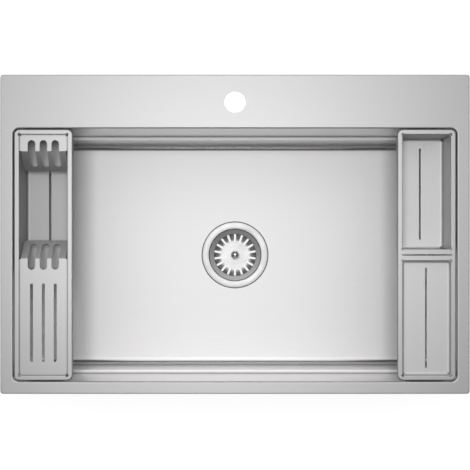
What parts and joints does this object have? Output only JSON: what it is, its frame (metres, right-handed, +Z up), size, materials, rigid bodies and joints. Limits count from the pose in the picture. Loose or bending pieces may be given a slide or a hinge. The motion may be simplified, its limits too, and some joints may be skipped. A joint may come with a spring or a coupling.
{
  "type": "kitchen sink",
  "caption": "Inset single bowl kitchen sink in brushed steel with a ledge inside the bowl, lift-out organiser trays, a tap hole and a basket strainer.",
  "frame": {"origin": "centre of the sink's outline, on the surface of the worktop, which is the underside of the pressed rim seal", "axes": "+Z up out of the worktop, +X to the right along the sink's length, +Y towards the back, where the tap hole is"},
  "size_m": [0.75, 0.51, 0.2544],
  "materials": {
    "brushed_sheet": "fine satin brushing along the length, bent edges a little brighter",
    "tray_sheet": "fine satin brushing along the tray",
    "strainer_steel": "satin, spun in circles",
    "knob_chrome": "polished",
    "clip_steel": "zinc plated, dull",
    "seal_foam": "closed-cell foam, matt",
    "pad_rubber": "matt, lightly grained",
    "drain_rubber": "smooth, satin",
    "foot_silicone": "smooth, matt",
    "cap_rubber": "matt",
    "nut_plastic": "moulded, matt"
  },
  "bodies": {
    "sink": {"deck_plate": "brushed_sheet", "bowl_shell": "brushed_sheet", "rim_seal": "seal_foam", "floor_pads": "pad_rubber", "wall_pads": "pad_rubber", "clip_rail_front": "clip_steel", "clip_rail_back": "clip_steel", "clip_rail_left": "clip_steel", "clip_rail_right": "clip_steel", "clip_arms": "clip_steel", "clip_screws": "clip_steel", "clip_caps": "cap_rubber", "strainer_body": "strainer_steel", "flange_gasket": "drain_rubber", "rubber_washer": "drain_rubber", "slip_ring": "nut_plastic", "lock_nut": "nut_plastic"},
    "strainer_basket": {"basket": "strainer_steel", "basket_ring": "drain_rubber", "basket_post": "knob_chrome", "basket_knob": "knob_chrome", "post_nut": "knob_chrome"},
    "left_tray": {"left_tray_top": "tray_sheet", "left_tray_trough": "tray_sheet", "left_tray_legs": "tray_sheet", "left_tray_feet": "foot_silicone"},
    "right_tray": {"right_tray_top": "tray_sheet", "right_tray_deep_well": "tray_sheet", "right_tray_shallow_well": "tray_sheet", "right_tray_legs": "tray_sheet", "right_tray_feet": "foot_silicone"}
  },
  "joints": [
    {"name": "left_tray_lift", "type": "slide", "parent": "sink", "child": "left_tray", "axis": [0, 0, 1], "range_m": [0, 0.12]},
    {"name": "right_tray_lift", "type": "slide", "parent": "sink", "child": "right_tray", "axis": [0, 0, 1], "range_m": [0, 0.12]},
    {"name": "basket_lift", "type": "slide", "parent": "sink", "child": "strainer_basket", "axis": [0, 0, 1], "range_m": [0, 0.24]}
  ]
}
